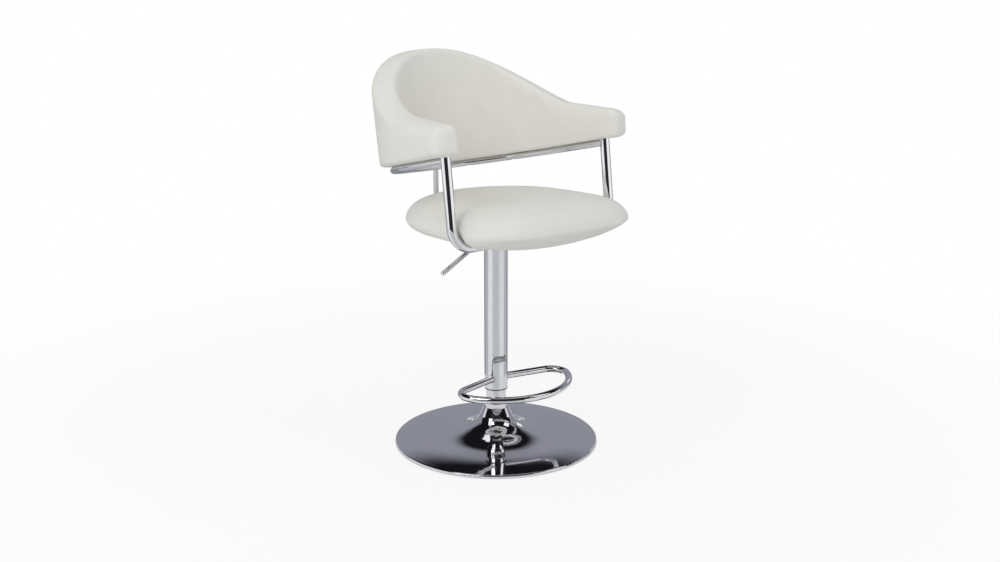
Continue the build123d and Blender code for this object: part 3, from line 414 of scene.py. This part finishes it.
SEAT_TILT, NOSE_DROP = 0.0360, 0.0063
LIP_IN, SEAT_BOARD_Z = 0.0565, 0.5375
LIP_LEVELS, LIP_HANG = np.array([1.0, 0.5, 0.12, 0.0]), np.array([0, 0.5, 0.88, 1])
FRAME_BEND, FRAME_RISE, FRAME_RUN_Y, FRAME_RUN_Z = 0.048, 0.22, -0.1399, 0.522
REAR_BEND, REAR_FOOT_Y, REAR_RUN_Z = 0.045, 0.040, 0.52675
FRAME_PRESS_R, REAR_PRESS_R = 0.0145, 0.0085
AXIS_LONG, AXIS_SHORT = 60, 40
VINYL_STIFFNESS, VINYL_BENDING = (40.0, 5.0), 8.0
FOAM_PRESSURE, SEAT_CAP, SEAT_HELD, SETTLE_FRAMES = 1.0, 0.003, 0.8, 20
TINY = 1e-9


def seat_outline(inset):
    """Seat plan, one row for each inset: bowed front arc, corner fillet, straight side and round rear.

    With half the width a and the bow b, the front arc has radius R = (a*a + b*b) / 2b. A fillet of radius r
    touches it and the side at x = a, and the rear is a half circle of radius a.
    """
    inset = np.asarray(inset)[:, None]
    half = SEAT_HALF_W - inset
    front = SEAT_FRONT_Y + inset
    bow = SEAT_BOW * half / SEAT_HALF_W
    corner = np.minimum(SEAT_CORNER_R - CORNER_SHRINK * inset, CORNER_MOST * half)
    arc = (half ** 2 + bow ** 2) / (2 * bow)
    meet = np.arcsin((half - corner) / (arc - corner))
    corner_y = front + arc - (arc - corner) * np.cos(meet)
    sweep = meet * np.linspace(0, 1, FRONT_STEPS + 1)[:-1]
    turn = meet + (pi / 2 - meet) * np.linspace(0, 1, CORNER_STEPS + 1)[:-1]
    rise = corner_y + (SEAT_REAR_CENTRE_Y - corner_y) * np.linspace(0, 1, SIDE_STEPS + 1)[:-1]
    round_off = pi / 2 * np.linspace(0, 1, REAR_STEPS + 1) + 0 * half
    x = np.hstack([arc * np.sin(sweep), half - corner + corner * np.sin(turn),
                   half + 0 * rise, half * np.cos(round_off)])
    y = np.hstack([front + arc - arc * np.cos(sweep), corner_y - corner * np.cos(turn),
                   rise, SEAT_REAR_CENTRE_Y + half * np.sin(round_off)])
    return np.hstack([x, -x[:, -2:0:-1]]), np.hstack([y, y[:, -2:0:-1]])


def seat_form():
    """Rings of the cushion from the middle of its underside to the middle of its crown.

    Below the belt a ring draws in by d*(1 - cos(t)^p) and drops by h*sin(t)^p, a quarter of a superellipse.
    Above it a ring at share r of the way out rises by h*(1 - r^a)^e, which is flat on top and slopes down to
    the belt. The crown tilts up towards the front, where its edge turns down a little. The front underside is
    tucked in by the square of the distance from the tuck's start, and hangs lowest in the middle.
    """
    low = np.radians(np.linspace(90, UNDER_LAST, UNDER_RINGS))
    out = 1 - np.linspace(0, 1, CROWN_RINGS) ** CROWN_CROWD
    under_sin, under_cos = np.sin(low) ** UNDER_POWER, np.cos(low) ** UNDER_POWER
    lip = np.array([LIP_IN, LIP_IN, LIP_IN, (LIP_IN + SEAT_DRAW_IN) / 2])
    inset = np.concatenate([lip, SEAT_DRAW_IN * (1 - under_cos), CROWN_IN * (1 - out)])
    lip_z = SEAT_BELT_Z - SEAT_DROP + LIP_LEVELS * (SEAT_BOARD_Z - SEAT_BELT_Z + SEAT_DROP)
    crown = SEAT_BELT_Z + CROWN_RISE * (1 - out ** CROWN_FLAT) ** CROWN_EDGE
    level = np.concatenate([lip_z, SEAT_BELT_Z - SEAT_DROP * under_sin, crown])
    below = np.concatenate([1 + 0 * lip, under_sin, 0 * out])[:, None]
    hang = np.concatenate([LIP_HANG, under_sin ** 2, 0 * out])[:, None]
    nose = np.concatenate([0 * lip, 1 - under_sin, out ** CROWN_FLAT])[:, None]
    x, y = seat_outline(inset)
    front = np.clip((TUCK_FROM_Y - y) / TUCK_SPAN, 0, 1)
    belly = SEAT_BELLY * (1 - (x / SEAT_HALF_W) ** 2) ** 2 * np.sqrt(front)
    z = level[:, None] - SEAT_TILT * (1 - below) * y - belly * hang - NOSE_DROP * nose * front ** 2
    y = y + SEAT_TUCK * below * front ** 2
    keep = np.linspace(0, 1, UNDER_FILL + 1)[:-1, None]
    middle = np.clip(y[:1], MIDDLE_FRONT_Y, MIDDLE_REAR_Y)
    under = np.stack([x[:1] * keep, middle + (y[:1] - middle) * keep, z[:1] + 0 * keep], axis=-1)
    keep = np.linspace(1, 0, CROWN_FILL + 1)[1:, None]
    spine = np.clip(y[-1:], SEAT_FRONT_Y + CROWN_IN + SPINE_IN, SEAT_REAR_CENTRE_Y)
    over = np.stack([x[-1:] * keep, spine + (y[-1:] - spine) * keep,
                     z[-1:] + SEAT_TILT * (1 - keep) * (y[-1:] - spine)], axis=-1)
    return np.concatenate([under, np.stack([x, y, z], axis=-1), over])


def frame_axis():
    """Middle line of the front frame, both halves: upright, quarter bend and run, in a plane that leans."""
    turn = np.radians(np.linspace(0, 90, AXIS_LONG))
    rise = np.linspace(FRAME_RISE, FRAME_BEND, AXIS_LONG)
    x = np.concatenate([FRAME_HALF_W + 0 * rise, FRAME_HALF_W - FRAME_BEND * (1 - np.cos(turn)),
                        np.linspace(FRAME_HALF_W - FRAME_BEND, 0, AXIS_SHORT)])
    w = np.concatenate([rise, FRAME_BEND * (1 - np.sin(turn)), np.zeros(AXIS_SHORT)])
    half = np.stack([x, FRAME_RUN_Y + w * sin(UPRIGHT_LEAN), FRAME_RUN_Z + w * cos(UPRIGHT_LEAN)], axis=-1)
    return np.concatenate([half, half * np.array([-1, 1, 1])])


def rear_axis():
    """Middle line of the rear upright where it bends and runs forward under the seat."""
    turn = np.radians(np.linspace(0, 90, AXIS_SHORT))
    run = np.linspace(REAR_Y - REAR_BEND, REAR_FOOT_Y, AXIS_LONG)
    y = np.concatenate([REAR_Y - REAR_BEND * (1 - np.cos(turn)), run])
    z = np.concatenate([REAR_RUN_Z + REAR_BEND * (1 - np.sin(turn)), REAR_RUN_Z + 0 * run])
    return np.stack([0 * y, y, z], axis=-1)


def press(points, line, radius):
    """Press foam away from a tube: a point at distance d from its line moves out to (d^4 + r^4)^(1/4)."""
    gap = points[:, None] - line[None]
    near = (gap ** 2).sum(axis=-1).argmin(axis=1)
    away = gap[np.arange(len(points)), near]
    far = np.linalg.norm(away, axis=1, keepdims=True) + TINY
    return points + away / far * ((far ** 4 + radius ** 4) ** 0.25 - far)


seat = panel("seat_cover", seat_form(), leatherette)
stapled = read_points(seat.data)[:, 2] < SEAT_BELT_Z - SEAT_HELD * SEAT_DROP
tension(seat, stapled, FOAM_PRESSURE, SEAT_CAP)
points = press(read_points(seat.data), frame_axis(), FRAME_PRESS_R)
write_points(seat.data, press(points, rear_axis(), REAR_PRESS_R))
smooth = seat.modifiers.new("smooth", "SUBSURF")
smooth.levels = smooth.render_levels = 1
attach(seat, "upper")
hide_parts("seat_cushion")

# Back with arms
# Foam moulded round a bent plywood board, under the same leatherette, which is glued and drawn to the rail.
# The rim is broad and round, and falls in a long curve from the back to the arms.

PAD_T, PAD_HEM_R, PAD_FLARE = 0.060, 0.009, 0.03
RIM_ROLL, ROLL_FULL, CREST_IN = 0.024, 0.6, 0.015
END_REACH, END_HEM_R, END_SPAN = 0.035, 0.014, 0.09
PAD_R, PAD_CENTRE_Y, ARM_END_Y = 0.2285, 0.0125, -0.125
ARM_SPLAY = radians(5.7)
ARM_TOP_Z, ARM_RISE, BACK_TOP_Z, RIM_LEVEL, RIM_HOLD = 0.7862, 0.003, 0.9105, 0.092, 1.16
PAD_STEPS, END_STEPS, HEM_STEPS, FACE_STEPS, ROLL_STEPS = 160, 14, 6, 23, 19
PAD_CAP, PAD_HELD = 0.003, 0.003


def pad_form():
    """The back as one grid: sections carried along the plan line, with each arm's end rounded over.

    At a distance s along the plan, the section stands at a foot on the rail's plane and leans as the
    uprights do. Its crest holds its level at the rear and then falls by a half cosine, and the sides flare
    out by a share of the height v. Half a section is a share q of the way out from the crest's line: 0 to 1
    along the foot, round the hem, up the face at 1, and back to 0 over the roll. The roll is a quarter of an
    ellipse on the arms and of a fuller superellipse behind. Along the arms the crest lies nearer to the inner
    face, so the roll is steep inside and gentle outside. At each end a share f of the reach goes onward and
    sqrt(1 - f^3) of the width stays, until both halves meet.
    """
    lean = np.array([0, sin(UPRIGHT_LEAN), cos(UPRIGHT_LEAN)])
    rear_turn = pi / 2 - ARM_SPLAY
    reach = PAD_R * rear_turn + (PAD_CENTRE_Y + PAD_R * cos(rear_turn) - ARM_END_Y) / sin(rear_turn)
    end = np.sin(np.linspace(pi / 2, 0, END_STEPS + 1)[:-1])
    plan = np.linspace(-reach, reach, PAD_STEPS + 1)
    along = np.concatenate([-reach + 0 * end, plan, reach + 0 * end])
    fold = np.concatenate([end, 0 * plan, end[::-1]])[:, None]
    side = np.where(along < 0, -1.0, 1.0)
    turn = np.minimum(abs(along) / PAD_R, rear_turn)
    ahead = abs(along) - turn * PAD_R
    outward = np.stack([side * np.sin(turn), np.cos(turn), 0 * turn], axis=-1)
    x = side * (PAD_R * np.sin(turn) + ahead * np.cos(turn))
    y = PAD_CENTRE_Y + PAD_R * np.cos(turn) - ahead * np.sin(turn)
    drop = tan(RAIL_SLOPE) * (y - UPRIGHT_Y) / (1 + tan(RAIL_SLOPE) * tan(UPRIGHT_LEAN))
    foot = np.stack([x, y - tan(UPRIGHT_LEAN) * drop, UPRIGHT_TOP_Z - drop], axis=-1)
    across = outward - (outward @ lean)[:, None] * lean
    across /= np.linalg.norm(across, axis=1, keepdims=True)
    onward = side[:, None] * np.cross(across, lean)
    from_end = reach - abs(along)
    arm_top = ARM_TOP_Z + ARM_RISE * np.minimum(from_end / RIM_LEVEL, 1)
    fall = np.minimum(abs(along) / (reach - RIM_LEVEL), 1) ** RIM_HOLD
    crest_z = arm_top + (BACK_TOP_Z - arm_top) * (1 + np.cos(pi * fall)) / 2
    height = ((crest_z - foot[:, 2]) / lean[2])[:, None]
    half = PAD_T / 2
    near_end = np.clip(1 - from_end / END_SPAN, 0, 1)[:, None]
    hem_r = PAD_HEM_R + (END_HEM_R - PAD_HEM_R) * near_end ** 2 * (3 - 2 * near_end)
    hem, roll = np.linspace(0, pi / 2, HEM_STEPS + 1), np.linspace(0, pi / 2, ROLL_STEPS + 1)
    foot_q = (1 - hem_r / half) * np.linspace(0, 1, HEM_STEPS + 1)[:-1]
    hem_q, hem_v = 1 - hem_r / half * (1 - np.sin(hem)), hem_r * (1 - np.cos(hem))
    face = hem_r + (height - RIM_ROLL - hem_r) * np.linspace(0, 1, FACE_STEPS + 1)[1:-1]
    full = 1 - ROLL_FULL * np.cos(turn)[:, None] ** 2
    roll_q, roll_v = np.cos(roll) ** full, height - RIM_ROLL * (1 - np.sin(roll) ** full)
    q = np.hstack([foot_q, hem_q, 1 + 0 * face, roll_q])
    v = np.hstack([0 * foot_q, hem_v, face, roll_v])
    crest = -CREST_IN * np.sin(turn)[:, None] ** 2
    outer, inner = (half - crest) * q, -(half + crest) * q[:, -2:0:-1]
    u = crest + np.hstack([outer, inner]) * np.sqrt(1 - fold ** 3)
    q, v = np.hstack([q, q[:, -2:0:-1]]), np.hstack([v, v[:, -2:0:-1]])
    spread = (PAD_FLARE * np.sin(turn) ** 2)[:, None] * v
    return (foot[:, None] + v[..., None] * lean + (u + spread)[..., None] * across[:, None]
            + (END_REACH * q * fold)[..., None] * onward[:, None])


pad = panel("back_cover", pad_form(), leatherette)
rail_up = np.array([0, sin(RAIL_SLOPE), cos(RAIL_SLOPE)])
above_rail = (read_points(pad.data) - np.array([0, UPRIGHT_Y, UPRIGHT_TOP_Z])) @ rail_up
tension(pad, above_rail < PAD_HELD, FOAM_PRESSURE, PAD_CAP)
smooth = pad.modifiers.new("smooth", "SUBSURF")
smooth.levels = smooth.render_levels = 1
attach(pad, "upper")
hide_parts("back_pad")

# Studio
# A pale floor and a white surround, three soft lamps, and glowing cards that only reflections see:
# painted reflections of a dim studio's walls, flags and softboxes, and painted shade on its floor,
# which light nothing and cast no shadow. The camera stands at the photograph's angle.


def studio_card(name, points, colour, high_colour=None, fade=(0.0, 1.0)):
    """A staged sheet that is seen in reflections only: one colour, or two with a fade between two levels."""
    rows, cols = points.shape[:2]
    index = np.arange(rows * cols).reshape(rows, cols)
    quads = np.stack([index[:-1, :-1], index[1:, :-1], index[1:, 1:], index[:-1, 1:]], axis=-1)
    mesh = bpy.data.meshes.new(name)
    mesh.from_pydata(points.reshape(-1, 3).tolist(), [], quads.reshape(-1, 4).tolist())
    material = bpy.data.materials.new(name)
    material.use_nodes = True
    tree = material.node_tree
    tree.nodes.clear()
    level = add(tree, "ShaderNodeSeparateXYZ", {0: add(tree, "ShaderNodeTexCoord").outputs["Object"]})
    share = add(tree, "ShaderNodeMapRange", {"Value": level.outputs["Z"], "From Min": fade[0],
                                             "From Max": fade[1]}, interpolation_type="SMOOTHSTEP")
    tone = add(tree, "ShaderNodeMix", {0: share.outputs["Result"], 6: linear(colour),
                                       7: linear(high_colour or colour)}, data_type="RGBA")
    glow = add(tree, "ShaderNodeEmission", {"Color": tone.outputs[2], "Strength": 1.0})
    add(tree, "ShaderNodeOutputMaterial", {"Surface": glow.outputs["Emission"]})
    mesh.materials.append(material)
    card = bpy.data.objects.new(name, mesh)
    bpy.context.scene.collection.objects.link(card)
    card.visible_camera = card.visible_diffuse = card.visible_shadow = False


def arc_wall(distance, start, stop, bottom, top):
    """A standing part of a cylinder about the column, from azimuth to azimuth in degrees, 0 in front."""
    turn, level = np.meshgrid(np.radians(np.linspace(start, stop, ARC_POINTS)), (bottom, top))
    return np.stack([distance * np.sin(turn), -distance * np.cos(turn), level], axis=-1)


def floor_patch(start, stop, near, far, level):
    """A flat sector of a ring just over the floor, between two azimuths and two distances from the column."""
    turn, away = np.meshgrid(np.radians(np.linspace(start, stop, ARC_POINTS)), (near, far))
    return np.stack([away * np.sin(turn), -away * np.cos(turn), level + 0 * away], axis=-1)


ARC_POINTS, ROOM_R, ROOM_TOP = 25, 4.0, 5.0
DARK, WHITE = "#17171A", "#FFFFFF"
HIGH_FADE, LOW_FADE = (2.0, 3.3), (0.95, 1.35)
# Painted reflection: the walls and ceiling are glowing cards, grey or white low down and dark above, seen
# only in reflections; they stand for a dim room in the chrome and light nothing.
for name, start, stop, colour, fade in (
    ("far_wall", 66, 216, "#94959F", HIGH_FADE),
    ("camera_wall", -77, -1, "#2A2A2E", HIGH_FADE),
    ("left_shade", -144, -77, WHITE, LOW_FADE),
    ("right_shade", -1, 66, WHITE, LOW_FADE),
):
    studio_card(name, arc_wall(ROOM_R, start, stop, 0.0, ROOM_TOP), colour, DARK, fade)
ceiling_x, ceiling_y = np.meshgrid([-ROOM_R, ROOM_R], [-ROOM_R, ROOM_R])
studio_card("ceiling", np.stack([ceiling_x, ceiling_y, ROOM_TOP + 0 * ceiling_x], axis=-1), DARK)
# Painted highlights: two white glowing cards, seen only in reflections, that put the white spots in the
# chrome; they are no lamps and light nothing.
studio_card("top_highlight_card", arc_wall(2.0, 148, 168, 3.1, 3.9), WHITE)
studio_card("side_highlight_card", arc_wall(3.5, 102, 116, 1.0, 1.7), WHITE)
# Painted shade in reflections: grey sheets just over the floor, seen only in reflections, lighter at their
# edges and darker in the middle, in front of and behind the stool; the floor itself stays evenly pale, and
# they cast no shadow.
for name, start, stop, near, level, colour in (
    ("near_floor_shade_edge", -76, -2, 0.3, 0.001, "#D0D2D4"),
    ("near_floor_shade_middle", -64, -14, 0.3, 0.002, "#C3C6C9"),
    ("far_floor_shade_edge", 44, 238, 0.5, 0.001, "#B9BBBE"),
    ("far_floor_shade_middle", 86, 196, 0.5, 0.002, "#8C8F93"),
):
    studio_card(name, floor_patch(start, stop, near, ROOM_R, level), colour)

FLOOR_HALF = 30.0
mesh = bpy.data.meshes.new("floor")
mesh.from_pydata([(-FLOOR_HALF, -FLOOR_HALF, 0), (FLOOR_HALF, -FLOOR_HALF, 0),
                  (FLOOR_HALF, FLOOR_HALF, 0), (-FLOOR_HALF, FLOOR_HALF, 0)], [], [(0, 1, 2, 3)])
floor = bpy.data.objects.new("floor", mesh)
bpy.context.scene.collection.objects.link(floor)
paper = bpy.data.materials.new("pale_floor")
paper.use_nodes = True
tree = paper.node_tree
tree.nodes.clear()
path = add(tree, "ShaderNodeLightPath")
matt = add(tree, "ShaderNodeBsdfDiffuse", {"Color": linear("#F4F4F4")})
glow = add(tree, "ShaderNodeEmission", {"Color": linear(WHITE), "Strength": 1.0})
place = add(tree, "ShaderNodeTexCoord").outputs["Object"]
away = add(tree, "ShaderNodeVectorMath", {0: place}, operation="LENGTH")
fade = add(tree, "ShaderNodeMapRange", {"Value": away.outputs["Value"], "From Min": 0.5, "From Max": 2.2,
                                        "To Min": 0.8, "To Max": 1.0}, interpolation_type="SMOOTHSTEP")
seen = add(tree, "ShaderNodeMath", {0: path.outputs["Is Camera Ray"], 1: fade.outputs["Result"]},
           operation="MULTIPLY")
both = add(tree, "ShaderNodeMixShader", {0: seen.outputs["Value"], 1: matt.outputs["BSDF"],
                                         2: glow.outputs["Emission"]})
add(tree, "ShaderNodeOutputMaterial", {"Surface": both.outputs["Shader"]})
floor.data.materials.append(paper)

world = bpy.data.worlds.new("studio")
bpy.context.scene.world = world
world.use_nodes = True
tree = world.node_tree
tree.nodes.clear()
path = add(tree, "ShaderNodeLightPath")
mirrored = add(tree, "ShaderNodeMath", {0: path.outputs["Is Camera Ray"], 1: path.outputs["Is Glossy Ray"]},
               operation="MAXIMUM")
seen = add(tree, "ShaderNodeMath", {0: mirrored.outputs["Value"], 1: path.outputs["Is Transmission Ray"]},
           operation="MAXIMUM")
light = add(tree, "ShaderNodeBackground", {"Color": linear("#FBFCFF"), "Strength": 0.68})
white = add(tree, "ShaderNodeBackground", {"Color": linear(WHITE), "Strength": 1.0})
both = add(tree, "ShaderNodeMixShader", {0: seen.outputs["Value"], 1: light.outputs["Background"],
                                         2: white.outputs["Background"]})
add(tree, "ShaderNodeOutputWorld", {"Surface": both.outputs["Shader"]})


def soft_lamp(name, place, aim, size, watts):
    """A square lamp at a place, turned towards a point."""
    lamp = bpy.data.lights.new(name, "AREA")
    lamp.size, lamp.energy = size, watts
    holder = bpy.data.objects.new(name, lamp)
    bpy.context.scene.collection.objects.link(holder)
    holder.location = place
    way = np.array(aim) - np.array(place)
    flat_way = np.hypot(way[0], way[1])
    holder.rotation_euler = (np.arctan2(flat_way, -way[2]), 0, np.arctan2(-way[0], way[1]))
    return holder


SEAT_MIDDLE = (0, 0, 0.6)
soft_lamp("left_lamp", (-2.2, -0.6, 2.2), SEAT_MIDDLE, size=1.4, watts=17)
soft_lamp("right_lamp", (1.6, -2.0, 2.4), SEAT_MIDDLE, size=1.4, watts=7)
top_lamp = soft_lamp("top_lamp", (0, 0.2, 3.0), (0, 0.19, 0.6), size=2.0, watts=6)
top_lamp.visible_glossy = False

SENSOR_MM, LENS_MM = 36.0, 43.851
CAMERA_PLACE, CAMERA_DOWN, CAMERA_TURN = (-1.7305, -2.1320, 1.09195), 14.301, -39.264
camera = bpy.data.cameras.new("camera")
camera.sensor_width, camera.lens = SENSOR_MM, LENS_MM
stand = bpy.data.objects.new("camera", camera)
bpy.context.scene.collection.objects.link(stand)
stand.location = CAMERA_PLACE
stand.rotation_euler = (radians(90 - CAMERA_DOWN), 0, radians(CAMERA_TURN))
bpy.context.scene.camera = stand
bpy.context.scene.view_settings.view_transform = "Standard"
